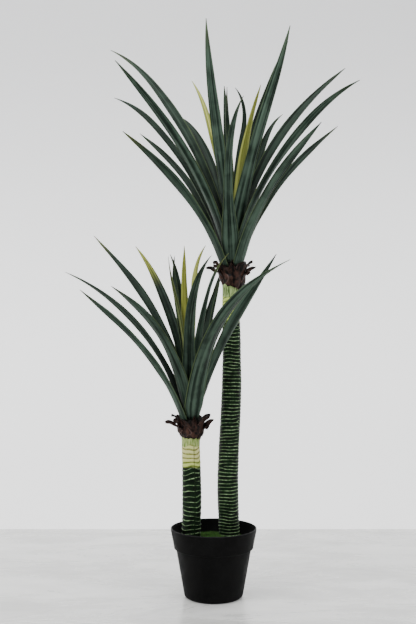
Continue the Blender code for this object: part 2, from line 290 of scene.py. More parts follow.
def floor_finish():
    """Pale and faintly glossy, with cloudy streaks: noise on coordinates squeezed along y. It glows a little,
    for the light that a pale room sends back."""
    tree = Finish("pale_floor", 0.26, 0.5)
    stretched = tree.add("ShaderNodeMapping", {"Vector": tree.place(), "Scale": (1.0, 2.6, 1.0)}).outputs[0]
    cloud = tree.span(tree.noise(stretched, 3.2, detail=7.0, roughness=0.66, distortion=0.5), 0.33, 0.67)
    vein = tree.span(tree.noise(stretched, 8.0, detail=8.0, roughness=0.75), 0.60, 0.72)
    marbled = tree.blend(cloud, paint(186, 186, 183), paint(216, 216, 213))
    marbled = tree.blend(tree.times(vein, 0.35), marbled, paint(166, 166, 163))
    glow = tree.blend(cloud, (0.03, 0.03, 0.03, 1.0), (0.10, 0.10, 0.10, 1.0))
    return tree.give(Base_Color=marbled, Roughness=tree.span(cloud, 0.0, 1.0, 0.22, 0.34),
                     Emission_Color=glow, Emission_Strength=1.0)


def wall_finish():
    """Plain and pale. Its glow stands for a studio wall lit from below: full near the floor, none above."""
    tree = Finish("pale_wall", 0.9, 0.3)
    place = tree.place()
    plain = tree.blend(tree.noise(place, 2.0, detail=2.0), paint(224, 224, 225), paint(230, 230, 231))
    height = tree.span(tree.split(place)["Z"], 0.35, 1.55)
    glow = tree.blend(height, (1.15, 1.15, 1.15, 1.0), (0.0, 0.0, 0.0, 1.0))
    back = tree.add("ShaderNodeNewGeometry").outputs["Backfacing"]
    return tree.give(Base_Color=plain, Emission_Color=glow, Emission_Strength=1.0,
                     Alpha=tree.maths("SUBTRACT", 1.0, back))


RIGHTWARDS = (2 * STAGE_REACH, 0, 0)
floor = flat_sheet("floor", (-STAGE_REACH, -STAGE_REACH, 0), RIGHTWARDS, (0, 2 * STAGE_REACH, 0),
                   floor_finish())
wall = flat_sheet("wall", (-STAGE_REACH, WALL_AT, 0), RIGHTWARDS, (0, 0, STAGE_REACH), wall_finish())
print("stage:", [tuple(round(side, 2) for side in sheet.dimensions) for sheet in (floor, wall)])


# %% Light
def soft_panel(name, at, aim, size, watts):
    """A square area light at one point, turned so that its -Z looks at aim."""
    panel = bpy.data.objects.new(name, bpy.data.lights.new(name, "AREA"))
    panel.data.energy = watts
    panel.data.size = size
    panel.location = at
    panel.rotation_euler = (Vector(aim) - Vector(at)).to_track_quat("-Z", "Y").to_euler()
    bpy.context.scene.collection.objects.link(panel)


soft_panel("key_panel", (-2.1, -1.5, 2.4), (0.0, 0.1, 0.55), 1.5, 80.0)
soft_panel("fill_panel", (2.3, -1.3, 1.6), (0.0, 0.0, 0.6), 1.4, 26.0)
soft_panel("top_panel", (0.2, -0.5, 3.0), (0.0, 0.0, 0.0), 2.2, 62.0)

surround = bpy.data.worlds.new("surround")
surround.use_nodes = True
surround.node_tree.nodes["Background"].inputs["Color"].default_value = (0.93, 0.96, 1.0, 1.0)
surround.node_tree.nodes["Background"].inputs["Strength"].default_value = 0.42
bpy.context.scene.world = surround
print("lights:", [light.name for light in bpy.data.lights])

# %% [markdown]
# ## One kind of surface for every piece
# The pot, a stem, a leaf and a bract are all a closed outline carried along a path: a circle up an axis, or
# the flat loop of a blade's section along its spine. One function turns such a grid of points into a closed
# mesh, with a face over each end, and sees that its faces point outwards.


# %% Closed tubes from grids of points
def tube_faces(rows, around):
    """Quads between neighbouring outlines of a grid whose outlines close on themselves."""
    row = np.arange(rows - 1)[:, None] * around
    here = np.arange(around)[None, :]
    after = (here + 1) % around
    return np.stack([row + here, row + after, row + around + after, row + around + here], -1).reshape(-1, 4)


def enclosed(points, quads):
    """Volume inside a closed skin: a sixth of the sum of a . (b x c) over its triangles."""
    middle = points.mean(0)
    a, b, c, d = (points[quads[:, corner]] - middle for corner in range(4))
    return float((a * np.cross(b, c)).sum() + (a * np.cross(c, d)).sum()) / 6


def closed_tube(name, outlines, marks=None, uv=None):
    """A closed mesh from outlines (rows, around, 3). Marks are named numbers on the same grid, and uv is a
    pair of them for the UV map."""
    rows, around, _ = outlines.shape
    points = outlines.reshape(-1, 3)
    quads = tube_faces(rows, around)
    ends = [np.arange(around)[::-1], np.arange(around) + (rows - 1) * around]
    if enclosed(points, quads) < 0:
        quads = quads[:, ::-1]
        ends = [end[::-1] for end in ends]
    mesh = bpy.data.meshes.new(name)
    mesh.from_pydata(points.tolist(), [], quads.tolist() + [end.tolist() for end in ends])
    mesh.shade_smooth()
    for label, values in (marks or {}).items():
        full = np.broadcast_to(values, (rows, around)).astype(np.float32).ravel()
        mesh.attributes.new(label, "FLOAT", "POINT").data.foreach_set("value", full)
    if uv is not None:
        both = np.stack([np.broadcast_to(part, (rows, around)).ravel() for part in uv], 1)
        corners = np.empty(len(mesh.loops), np.int32)
        mesh.loops.foreach_get("vertex_index", corners)
        mesh.uv_layers.new(name="blade").data.foreach_set("uv", both[corners].astype(np.float32).ravel())
    return mesh


def add_piece(name, mesh, finish, slot, *stands_for):
    """Links a finished piece, gives it its material, and ties it to the CAD frame."""
    piece = bpy.data.objects.new(name, mesh)
    piece.data.materials.append(finish)
    bpy.context.scene.collection.objects.link(piece)
    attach(piece, "root")
    if stands_for:
        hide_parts(*stands_for)
    return piece


# %% [markdown]
# ## What the CAD frame measures
# A cut through a CAD solid at one height gives its middle and radius there. The stems' centre lines, the
# crowns' places and the pot's sizes are read this way, so that a new piece lies where its CAD node does.


# %% Cuts through a CAD node
def node_triangles(node):
    """Corner points of a node's triangles, (n, 3, 3)."""
    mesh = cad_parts[node].data
    mesh.calc_loop_triangles()
    corners = np.empty(len(mesh.loop_triangles) * 3, np.int32)
    mesh.loop_triangles.foreach_get("vertices", corners)
    points = np.empty(len(mesh.vertices) * 3, np.float32)
    mesh.vertices.foreach_get("co", points)
    return points.reshape(-1, 3)[corners].reshape(-1, 3, 3).astype(float)


def cut(triangles, height):
    """Points where the triangles' edges pass a height."""
    start = triangles.reshape(-1, 3)
    end = np.roll(triangles, -1, axis=1).reshape(-1, 3)
    crosses = (start[:, 2] - height) * (end[:, 2] - height) < 0
    start, end = start[crosses], end[crosses]
    share = ((height - start[:, 2]) / (end[:, 2] - start[:, 2]))[:, None]
    return start + (end - start) * share


def centre_and_radius(node, heights):
    """Middle (x, y) and mean half width of a node's cuts."""
    triangles = node_triangles(node)
    cuts = [cut(triangles, height) for height in heights]
    low = np.array([points.min(0) for points in cuts])
    high = np.array([points.max(0) for points in cuts])
    return (low + high)[:, :2] / 2, (high - low)[:, :2].mean(1) / 2


SOIL_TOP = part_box("soil")[1].z
POT_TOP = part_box("pot")[1].z
TIP_CONE = 0.045  # the growing tip stands this far above a stem's shoulder


def smooth_step(value, low, high):
    """0 below low, 1 above high, and 3 s^2 - 2 s^3 between them."""
    share = np.clip((value - low) / (high - low), 0, 1)
    return share * share * (3 - 2 * share)


def crown_place(stem):
    """Middle of a stem's shoulder, where its leaves grow, from a cut 1 mm under it."""
    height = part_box(stem)[1].z - TIP_CONE
    middle, radius = centre_and_radius(stem, [height - 0.001])
    print(stem, "shoulder at", middle[0].round(4), round(height, 4), "radius", radius[0].round(4))
    return np.array([*middle[0], height])


TALL_CROWN = crown_place("tall_stem")
SHORT_CROWN = crown_place("short_stem")
CROWN_STEP = float(TALL_CROWN[2] - SHORT_CROWN[2])

# %% [markdown]
# ## The pot
# The real pot is a thin moulded tub with a rolled lip, a rim band that steps out from the tapering body, and
# a fine matt texture. It is turned here from a profile whose edges are all rounded, because it is the
# rounding that catches the light.

# %% Pot shape
POT_SIDES = 128
POT_WALL = 0.0026
BAND_HEIGHT = 0.041
BASE_ROUND = 0.008


def arc(middle, radius, start, end, steps):
    """Points (r, z) on an arc, in degrees: middle + radius (cos, sin)."""
    turn = np.radians(np.linspace(start, end, steps))
    return np.stack([middle[0] + radius * np.cos(turn), middle[1] + radius * np.sin(turn)], 1)


def pot_profile():
    """The pot's section from the middle of its floor, up inside, over the lip and down to the underside."""
    foot = POT_TOP - BAND_HEIGHT
    cuts = (0.010, foot - 0.004, foot + 0.003, POT_TOP - 0.003)
    _, (low, under_band, band_foot, rim) = centre_and_radius("pot", cuts)
    slope = (under_band - low) / (cuts[1] - cuts[0])

    def body(z):
        return low + slope * (z - cuts[0])

    base = (body(BASE_ROUND) - BASE_ROUND, BASE_ROUND)
    lip = POT_WALL / 2
    inside = [[0.002, POT_WALL], *arc(base, BASE_ROUND - POT_WALL, -90, 0, 7)]
    inside += [[body(foot) - POT_WALL, foot], [body(foot) - POT_WALL + 0.0006, foot + 0.0016]]
    inside += [[band_foot - POT_WALL - 0.0006, foot + 0.0030], [band_foot - POT_WALL, foot + 0.0046]]
    inside += [[rim - POT_WALL, POT_TOP - 0.006]]
    over = arc((rim - lip + 0.0002, POT_TOP - lip - 0.0001), lip + 0.0001, 180, 0, 11)
    band = [[rim + 0.0001, POT_TOP - 0.006], [band_foot, foot + 0.0030]]
    step = arc((band_foot - 0.0016, foot + 0.0012), 0.0016, 0, -80, 6)
    fillet = [[body(foot) + 0.0012, foot - 0.0005], [body(foot) + 0.0003, foot - 0.0010],
              [body(foot - 0.0022), foot - 0.0022]]
    outside = arc(base, BASE_ROUND, 0, -90, 9)
    parts = [inside, over, band, step, fillet, outside, [[0.002, 0.0]]]
    return np.concatenate([np.asarray(part, float) for part in parts])


def turned(name, profile, sides):
    """Each profile point (r, z) becomes a circle: (r cos t, r sin t, z)."""
    turn = np.arange(sides) * 2 * math.pi / sides
    radius, height = profile[:, 0, None], profile[:, 1, None]
    outlines = np.stack([radius * np.cos(turn), radius * np.sin(turn), height + 0 * turn], -1)
    return closed_tube(name, outlines)


# %% Pot finish
def pot_finish():
    """Black, with a faint mottle, grey specks, and a painted highlight that makes the lip paler
    over the last 2.2 mm of its height.
    """
    tree = Finish("matt_black_plastic", 0.5, 0.05)
    mottle, grain = tree.mottle(35.0), tree.grain(620.0, 0.62)
    plain = tree.blend(mottle, paint(9, 9, 9), paint(15, 15, 15))
    speckled = tree.blend(tree.times(grain["Speck"], 0.45), plain, paint(30, 30, 30))
    # painted highlight: the lip is lightened towards grey over its top 2.2 mm
    lip = tree.span(tree.split(tree.place())["Z"], POT_TOP - 0.0022, POT_TOP)
    return tree.give(Base_Color=tree.blend(tree.times(lip, 0.5), speckled, paint(44, 44, 45)),
                     Roughness=tree.span(mottle, 0.0, 1.0, 0.50, 0.62),
                     Normal=tree.bump(grain["Height"], 0.00025, 0.5))


pot_mesh = turned("moulded_pot", pot_profile(), POT_SIDES)
pot = add_piece("moulded_pot", pot_mesh, pot_finish(), "pot_plastic", "pot")
print("pot:", len(pot.data.vertices), "points, box", [round(side, 4) for side in pot.dimensions])


# %% [markdown]
# ## Soil and moss
# The stems are set in a dark filling, and a mat of green moss hides it. The filling is only seen as a dark
# edge, so its CAD solid is kept. So is the moss cushion, which already has the stems' holes; what it lacks
# is the pile. The pile is thousands of small pointed fibres that stand on the cushion and lean every way.

# %% Filling and moss finishes
def soil_finish():
    """Two dark browns by mottle, with pale specks by grain."""
    tree = Finish("dark_filling", 0.95, 0.2)
    grain = tree.grain(420.0, 0.60)
    plain = tree.blend(tree.mottle(160.0), paint(30, 24, 18), paint(62, 48, 36))
    return tree.give(Base_Color=tree.blend(grain["Speck"], plain, paint(96, 78, 58)),
                     Normal=tree.bump(grain["Height"], 0.0012))


def moss_finish(name, dark, light):
    """Dark to light by 0.45 mottle + 0.55 tip. The mark called tip is 0 at a fibre's foot, and it
    holds painted shade that darkens the fibres towards the cushion's rim by the pot wall.
    """
    tree = Finish(name, 0.85, 0.25)
    grain = tree.grain(700.0, 0.55)
    share = tree.weighed(tree.mottle(110.0), 0.45, tree.attribute("tip"), 0.55)
    green = tree.blend(share, paint(*dark), paint(*light))
    return tree.give(Base_Color=tree.blend(tree.times(grain["Speck"], 0.4), green, paint(104, 130, 50)),
                     Normal=tree.bump(grain["Height"], 0.0008))


kept = {"soil": soil_finish(), "moss": moss_finish("moss_cushion", (10, 30, 6), (28, 66, 14))}
for node, finish in kept.items():
    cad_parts[node].data.materials.clear()
    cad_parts[node].data.materials.append(finish)
print("kept CAD nodes with new finishes:", list(kept))

# %% Moss pile
FIBRES = 6200
MOSS_LOW, MOSS_HIGH = (corner.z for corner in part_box("moss"))
MOSS_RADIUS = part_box("moss")[1].x - 0.0012
MOSS_RIM = 0.006
FIBRE_LEAN = 0.42  # how far fibres lean, as a share of their rise
FIBRE_HEIGHTS = (0.0026, 0.0062)
FIBRE_RADII = (0.0004, 0.0008)
chance = np.random.default_rng(11)


def cushion_height(radius):
    """Top of the cushion: its rim plus a dome that falls as the squared cosine of the radius."""
    dome = MOSS_HIGH - MOSS_LOW - MOSS_RIM
    return MOSS_LOW + MOSS_RIM + dome * np.cos(math.pi / 2 * np.minimum(radius / MOSS_RADIUS, 1)) ** 2


def fibre_roots():
    """Even random places over the disc: radius = R x square root of chance. None is inside a stem."""
    radius = MOSS_RADIUS * np.sqrt(chance.random(FIBRES))
    turn = chance.random(FIBRES) * 2 * math.pi
    roots = np.stack([radius * np.cos(turn), radius * np.sin(turn), cushion_height(radius)], 1)
    for stem in ("tall_stem", "short_stem"):
        middle, wide = centre_and_radius(stem, [MOSS_HIGH])
        roots = roots[np.hypot(*(roots[:, :2] - middle[0]).T) > wide[0] + 0.0012]
    return roots


def fibre_mesh(roots):
    """A fibre is three points at its foot, three half way and one at its tip: root + axis x height + ring."""
    count = len(roots)
    lean = chance.normal(0, FIBRE_LEAN, (count, 2))
    tall = chance.uniform(*FIBRE_HEIGHTS, count)[:, None]
    axis = np.concatenate([lean, np.ones((count, 1))], 1)
    axis /= np.linalg.norm(axis, axis=1)[:, None]
    droop = np.concatenate([lean * 1.4, -0.25 * np.ones((count, 1))], 1)
    turn = chance.random(count)[:, None] * 6.283 + np.arange(3) * 2 * math.pi / 3
    thick = chance.uniform(*FIBRE_RADII, count)[:, None, None]
    ring = np.stack([np.cos(turn), np.sin(turn), 0 * turn], -1) * thick
    foot = roots[:, None] - axis[:, None] * 0.0008 + ring
    middle = (roots + axis * tall * 0.5 + droop * tall * 0.12)[:, None] + ring * 0.75
    tip = (roots + axis * tall + droop * tall * 0.42)[:, None]
    points = np.concatenate([foot, middle, tip], 1)
    side = np.array([[0, 1, 4, 3], [1, 2, 5, 4], [2, 0, 3, 5]])
    end = np.array([[3, 4, 6], [4, 5, 6], [5, 3, 6], [2, 1, 0]])
    start = np.arange(count)[:, None, None] * 7
    mesh = bpy.data.meshes.new("moss_pile")
    faces = (side[None] + start).reshape(-1, 4).tolist() + (end[None] + start).reshape(-1, 3).tolist()
    mesh.from_pydata(points.reshape(-1, 3).tolist(), [], faces)
    mesh.shade_smooth()
    level = np.array([0.0, 0.0, 0.0, 0.55, 0.55, 0.55, 1.0])
    # painted shade: fibres are made darker towards the cushion's rim, next to the pot wall
    edge = 1 - 0.75 * smooth_step(np.hypot(roots[:, 0], roots[:, 1]) / MOSS_RADIUS, 0.55, 0.95)
    bright = (level[None, :] * (edge * chance.uniform(0.45, 1.0, count))[:, None]).astype(np.float32)
    mesh.attributes.new("tip", "FLOAT", "POINT").data.foreach_set("value", bright.ravel())
    return mesh


moss_pile = add_piece("moss_pile", fibre_mesh(fibre_roots()),
                      moss_finish("moss_fibre", (6, 28, 4), (60, 114, 36)), "moss")
print("moss pile:", len(moss_pile.data.polygons) // 7, "fibres")

# %% [markdown]
# ## The stems
# A yucca's stem is marked by the scars of its fallen leaves: thin raised rings, a few millimetres apart, that
# waver, fork and run into each other. A stack of rings could be modelled one at a time, but then none would
# fork. Here the rings are the places where a *phase* that grows with height passes a whole number. A fork is
# a point about which the phase gains one whole turn, as in a fingerprint, so that one more ring passes on
# one side of it than on the other.

# %% Ring phase
RING_HEIGHT = 0.0011
RING_HALF_WIDTH = 0.00095


def turn_about(angle, height, at_angle, at_height, radius):
    """Phase gained about one fork on a cylinder: the argument of sin(w / 2) over a whole turn, where
    w = (angle - at_angle) + i (height - at_height) / radius."""
    w = (angle - at_angle) + 1j * (height - at_height) / radius
    return np.angle(np.sin(w / 2)) / (2 * math.pi)


def ring_phase(angle, height, spacing, forks, radius, seed):
    """Rings passed on the way up, plus slow waves round the stem, plus a turn for each fork. Spacing is (at
    the soil, its growth g per metre), so the rings passed are log(1 + g h / spacing) / g. Forks come in pairs
    of opposite sign, so that the rings stay level above and below them."""
    draw = np.random.default_rng(seed)
    phase = np.log(1 + spacing[1] * (height - SOIL_TOP) / spacing[0]) / spacing[1]
    for times in (1, 2, 3, 5):
        size = draw.uniform(0.10, 0.26) * 2 / (1 + times)
        slow, start = draw.uniform(20, 75), draw.uniform(0, 6)
        phase = phase + size * np.sin(times * angle + start + 1.5 * np.sin(slow * height + start))
    for sign, at_angle, at_height in forks:
        phase = phase + sign * turn_about(angle, height, at_angle, at_height, radius)
    return phase


def scatter_forks(low, high, count, seed):
    """Places of forks by chance, with signs that alternate upwards."""
    draw = np.random.default_rng(seed)
    heights = np.sort(draw.uniform(low, high, count))
    return [((-1) ** index, draw.uniform(0, 2 * math.pi), height) for index, height in enumerate(heights)]


# %% Stem shape
STEM_SIDES = 112
ROW_STEP = 0.0009
FORK_RADIUS = 0.019  # of the cylinder that the forks are worked out on
BOW_HEIGHT = 0.52
BOW_REACH = 0.12
FULLER = 0.0010  # how much wider than the CAD stem, from 10 cm above the soil
SLIMMER = (0.42, 0.50)  # heights between which that is lost again
SEAM_WIDTH = 0.0008
# above these depths the stem is painted near-black, as painted shade inside the collar and the crown
COVERED = (0.022, 0.012)  # depths under the crown between which the collar comes to cover the stem
STEM_CUTS = 90  # through the CAD stem, to read its middle and radius


def stem_zones(angle, z, crown, pale, seed):
    """Masks that change with height: above the soil, young from the foot of pale, fresh from its head, and
    covered by the collar. The edges of pale wander round the stem by a millimetre or two."""
    foot, head = pale
    ragged = 0.0012 * np.sin(angle * 2 + seed) + 0.0008 * np.sin(angle * 5)
    above_soil = smooth_step(z, SOIL_TOP, SOIL_TOP + 0.006)
    young = smooth_step(z + ragged, foot - 0.0022, foot + 0.0022)
    fresh = smooth_step(z + 2 * ragged, head - 0.002, head + 0.002)
    covered = smooth_step(z, crown[2] - COVERED[0], crown[2] - COVERED[1])
    return above_soil, young, fresh, covered


def ring_relief(angle, z, phase, spacing, seed):
    """1 on a ring and 0 between rings: a bell curve of the distance from the nearest whole phase, times the
    spacing there. Two sines make rings thinner in places, and a third makes them of unlike strength."""
    off = np.abs(phase - np.round(phase)) * (spacing[0] + spacing[1] * (z - SOIL_TOP))
    thin = np.sin(3 * angle + 90 * z + seed) * np.sin(7 * angle - 160 * z) * 0.5 + 0.5
    ring = np.exp(-((off / (RING_HALF_WIDTH * (0.75 + 0.5 * thin))) ** 2))
    return ring * (0.87 + 0.13 * np.sin(2 * angle + 5.3 * np.round(phase)))


def stem_mesh(name, node, crown, spacing, forks, pale, seed, seam=None, bow=0.0):
    """Circles of the CAD stem's middle and radius, raised where the ring phase is near a whole number. Pale
    is (foot, head): the young wood between them is yellow-green, and from the head up it is smooth. Bow is
    how far the stem bends to the left of the CAD stem, at most: a bell curve about BOW_HEIGHT."""
    low, high = (corner.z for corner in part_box(node))
    buried = np.linspace(low + 0.0004, SOIL_TOP, 6)[:-1]
    ringed = np.arange(SOIL_TOP, crown[2], ROW_STEP)
    cone = np.linspace(crown[2], high - 0.0006, 12)
    z = np.concatenate([buried, ringed, cone])
    knots = np.linspace(low + 0.0005, high - 0.0005, STEM_CUTS)
    middles, radii = centre_and_radius(node, knots)
    x, y, radius = (np.interp(z, knots, line)[:, None] for line in (middles[:, 0], middles[:, 1], radii))
    angle = (np.arange(STEM_SIDES) * 2 * math.pi / STEM_SIDES)[None, :]
    z = z[:, None]
    x = x - bow * np.exp(-(((z - BOW_HEIGHT) / BOW_REACH) ** 2))
    phase = ring_phase(angle, z, spacing, forks, FORK_RADIUS, seed)
    above_soil, young, fresh, covered = stem_zones(angle, z, crown, pale, seed)
    ring = ring_relief(angle, z, phase, spacing, seed) * above_soil * (1 - fresh)
    groove = 0.0
    if seam is not None:
        across = np.abs((angle - seam + math.pi) % (2 * math.pi) - math.pi) * radius
        groove = np.exp(-((across / SEAM_WIDTH) ** 2)) * above_soil * (1 - fresh)
        ring = ring * (1 - 0.75 * groove)
    lumps = 0.00022 * np.sin(4 * angle + 210 * z) * np.sin(3 * angle - 130 * z) * above_soil
    full = FULLER * smooth_step(z, SOIL_TOP + 0.03, SOIL_TOP + 0.10) * (1 - covered)
    full = full * (1 - smooth_step(z, *SLIMMER))
    raised = RING_HEIGHT * (1 - 0.35 * young) * ring
    radius = radius - 0.0002 * above_soil + full + raised + lumps - 0.0006 * groove
    band = (0.5 + 0.5 * np.cos(2 * math.pi * phase)) * (1 - fresh)
    outlines = np.stack([x + radius * np.cos(angle), y + radius * np.sin(angle), z + 0 * angle], -1)
    marks = {"ring": ring, "band": band, "young": young, "fresh": fresh, "groove": groove, "round": angle,
             "covered": covered}
    return closed_tube(name, outlines, marks)


# %% [markdown]
# The stem's colours follow its relief. The mesh carries the height of the rings, and how young the wood is,
# at each point. So the pale line always lies on the ridge that it belongs to, whatever the ridge does.

# %% Stem finish
def stem_finish(name, young_gap, young_band, fresh_dark, fresh_light, turning):
    """Turning is where, in height, the young wood changes from yellow-green to its own colour."""
    tree = Finish(name, 0.55, 0.10)
    mottle, patches, grain = tree.mottle(85.0), tree.mottle(260.0, 3.0), tree.grain(500.0, 0.62)
    ring, band = tree.attribute("ring"), tree.attribute("band")
    bark = tree.blend(mottle, paint(1, 4, 1), paint(9, 30, 11))
    bark = tree.blend(tree.times(grain["Speck"], 0.25), bark, paint(44, 66, 38))
    line = tree.blend(patches, paint(84, 114, 74), paint(150, 176, 132))
    old = tree.blend(tree.span(ring, 0.34, 0.84), bark, line)
    gap = tree.blend(patches, paint(*young_gap), paint(*young_band))
    shade = tree.span(band, 0.05, 0.55)
    bright = tree.blend(shade, tree.blend(0.35, paint(*young_gap), gap), paint(*young_band))
    height = tree.split(tree.place())["Z"]
    greener = tree.span(height, *turning, 0.75, 0.0)
    greener = tree.maths("MAXIMUM", greener, tree.times(mottle, 0.4))
    bright = tree.blend(greener, bright, tree.blend(shade, paint(84, 112, 30), paint(186, 204, 100)))
    around = tree.times(tree.attribute("round"), 9.0)
    spot = tree.join(X=around, Y=tree.times(height, 60.0))
    stripe = tree.span(tree.noise(spot, 1.0, detail=2.0), 0.38, 0.60)
    fresh = tree.blend(stripe, paint(*fresh_dark), paint(*fresh_light))
    wood = tree.blend(tree.attribute("young"), old, bright)
    wood = tree.blend(tree.attribute("fresh"), wood, fresh)
    seam = tree.times(tree.attribute("groove"), 0.7)
    wood = tree.blend(seam, wood, paint(20, 38, 14))
    # painted shade: where the collar and the crown cover it, the stem is painted near-black
    return tree.give(Base_Color=tree.blend(tree.attribute("covered"), wood, paint(12, 12, 8)),
                     Normal=tree.bump(grain["Height"], 0.0004),
                     Roughness=tree.span(mottle, 0.0, 1.0, 0.42, 0.62))


TALL_PALE = (0.563, 0.6115)
SHORT_PALE = (0.2675, 0.310)
SHORT_SEAM = math.radians(-69)
tall_mesh = stem_mesh("tall_ringed_stem", "tall_stem", TALL_CROWN, (0.0066, 0.0029),
                      scatter_forks(0.15, 0.55, 14, 5), TALL_PALE, 3, bow=0.0042)
tall_finish = stem_finish("tall_stem_skin", (98, 118, 36), (200, 216, 112), (76, 98, 52), (164, 184, 122),
                          (0.563, 0.580))
tall_stem = add_piece("tall_ringed_stem", tall_mesh, tall_finish, "stem", "tall_stem")
short_mesh = stem_mesh("short_ringed_stem", "short_stem", SHORT_CROWN, (0.0088, 0.0050),
                       scatter_forks(0.145, 0.255, 8, 8), SHORT_PALE, 14, seam=SHORT_SEAM)
short_finish = stem_finish("short_stem_skin", (112, 110, 44), (212, 208, 148), (104, 130, 60),
                           (172, 184, 118), (0.274, 0.288))
short_stem = add_piece("short_ringed_stem", short_mesh, short_finish, "stem", "short_stem")
print("stems:", [(piece.name, len(piece.data.polygons)) for piece in (tall_stem, short_stem)])

# %% [markdown]
# ## Blades
# Leaves and bracts are strips along a *spine* that leans out from the stem. Across, a strip is an arc round
# the rosette's axis, so blades of different rings lie one inside the other. The strip gets pleats and a
# twist, then thickness: its section is a thin closed loop, fullest in the middle and fine at the margins.

# %% Spine and section
SPINE = np.linspace(0, 1, 201)  # shares of a spine's length at which it is worked out


def spine_line(root, heading, lean, sway, length):
    """Walks out from root (radius, height): each step is (sin lean cos turn, sin lean sin turn, cos lean),
    and turn goes from heading to heading + sway with the square of the share walked."""
    lean = np.radians(lean)
    turn = np.radians(heading + sway * SPINE**2)
    step = np.stack([np.sin(lean) * np.cos(turn), np.sin(lean) * np.sin(turn), np.cos(lean)])
    walked = np.cumsum((step[:, 1:] + step[:, :-1]) / 2, axis=1) * length / (len(SPINE) - 1)
    start = np.array([root[0] * math.cos(turn[0]), root[0] * math.sin(turn[0]), root[1]])
    return start[:, None] + np.insert(walked, 0, 0, axis=1), lean, turn


def softened(at, values, window=13):
    """A broken line through (at, values), read along the spine and averaged over a short window."""
    line = np.interp(SPINE, at, values)
    padded = np.pad(line, window // 2, mode="edge")
    return np.convolve(padded, np.ones(window) / window, mode="valid")


def strip(spine, along, across, half_width, wrap, channel, twist, relief):
    """Mid surface of a blade: middle + side R sin(g) + inward (R (1 - cos(g)) + relief), with
    g = across x min(half width / R, wrap). Twist turns side and inward about the spine."""
    points, lean, turn = spine
    middle = np.stack([np.interp(along, SPINE, line) for line in points], -1)[:, None]
    lean, turn = np.interp(along, SPINE, lean)[:, None], np.interp(along, SPINE, turn)[:, None]
    side = np.stack([-np.sin(turn), np.cos(turn), 0 * turn], -1)
    inward = np.stack([-np.cos(lean) * np.cos(turn), -np.cos(lean) * np.sin(turn), np.sin(lean)], -1)
    radius = np.hypot(middle[..., 0], middle[..., 1]) / np.cos(lean).clip(0.2)
    radius = np.minimum(radius, channel)
    g = across * np.minimum(half_width / radius, wrap)
    right = radius * np.sin(g)
    up = radius * (1 - np.cos(g)) + relief
    sine, cosine = np.sin(twist), np.cos(twist)
    sideways = side * (right * cosine - up * sine)[..., None]
    return middle + sideways + inward * (right * sine + up * cosine)[..., None]


def blade_outlines(surface, thickness):
    """Closes a strip: one skin half a thickness to each side, along the normal, joined at the margins."""
    along = np.gradient(surface, axis=0)
    across = np.gradient(surface, axis=1)
    normal = np.cross(across, along)
    normal /= np.linalg.norm(normal, axis=-1, keepdims=True) + 1e-12
    shift = normal * thickness[..., None] / 2
    return np.concatenate([surface + shift, (surface - shift)[:, ::-1]], axis=1)


def both_sides(grid):
    """A number on the strip, repeated in the order of the closed loop."""
    return np.concatenate([grid, grid[:, ::-1]], axis=1)


def closed_blade(name, outlines, across, v, marks):
    """The closed loop's mesh, with (across, along) from 0 to 1 as its UV map."""
    u = (across + 1) / 2 + 0 * v
    return closed_tube(name, outlines, marks, uv=(both_sides(u), both_sides(v + 0 * across)))


# %% [markdown]
# ## The leaves
# A row of each table is one leaf, from the outermost ring of its rosette to the heart. Most rows are within a
# few degrees and millimetres of their CAD leaf; the short rosette's hidden back leaves, and those that bend
# most freely, are further off. The script prints how far the worst leaf's box is from its CAD node's box.
# Lengths are in millimetres on the tall stem, and in thousandths of the step between the crowns on the short
# one.

# %% Leaf tables
# name, heading, lean at the tip, length, width, sway, curl, tone, pleats
TALL_LEAVES = (
    ("left_front_low", -150, 56, 350, 1.00, 0, 0, 0.3, 2),
    ("right_front_low", -50, 57, 355, 0.95, 0, 0, 0.7, 3),
    ("left_back_low", 136, 56, 415, 0.85, 0, 0, 0.2, 2),
    ("right_low", 25, 52, 395, 0.95, 0, 0, 0.3, 2),
    ("back_low", 118, 56, 370, 0.90, 0, 0, 0.2, 2),
    ("front", -99, 45, 367, 1.00, 34, 16, 0.8, 3),
    ("left", 150, 49, 480, 1.00, 0, 20, 0.4, 2),
    ("right_back_low", 54, 32, 384, 0.95, -4, 30, 0.2, 2),
    ("left_front", -150, 48, 460, 1.05, 0, 0, 0.6, 3),
    ("back_left", 113, 52, 445, 1.00, 5, 14, 0.2, 2),
    ("right", -22, 51, 441, 1.00, 0, 17, 0.6, 3),
    ("left_high", 148, 45, 577, 1.10, 0, 18, 0.6, 2),
    ("right_back", 34, 53, 545, 1.10, 3, 1, 0.4, 2),
    ("right_front_high", -53, 36, 466, 1.20, -11, -8, 0.9, 3),
    ("back", 97, 23, 390, 0.85, 0, 0, 0.4, 2),
    ("top", -131, 18, 466, 1.10, 31, -4, 0.8, 3),
    ("right_inner", 45, 30, 502, 1.00, 0, 0, 0.4, 2),
    ("young_left", 148, 19, 382, 0.75, -11, 20, 0.9, 2),
    ("young_right", -55, 20, 335, 0.80, 17, 3, 0.5, 2),
    ("hooked", 58, 16, 347, 0.70, -18, -72, 0.2, 2),
    ("heart", 180, 2, 330, 0.65, 0, -4, 0.5, 2),
)
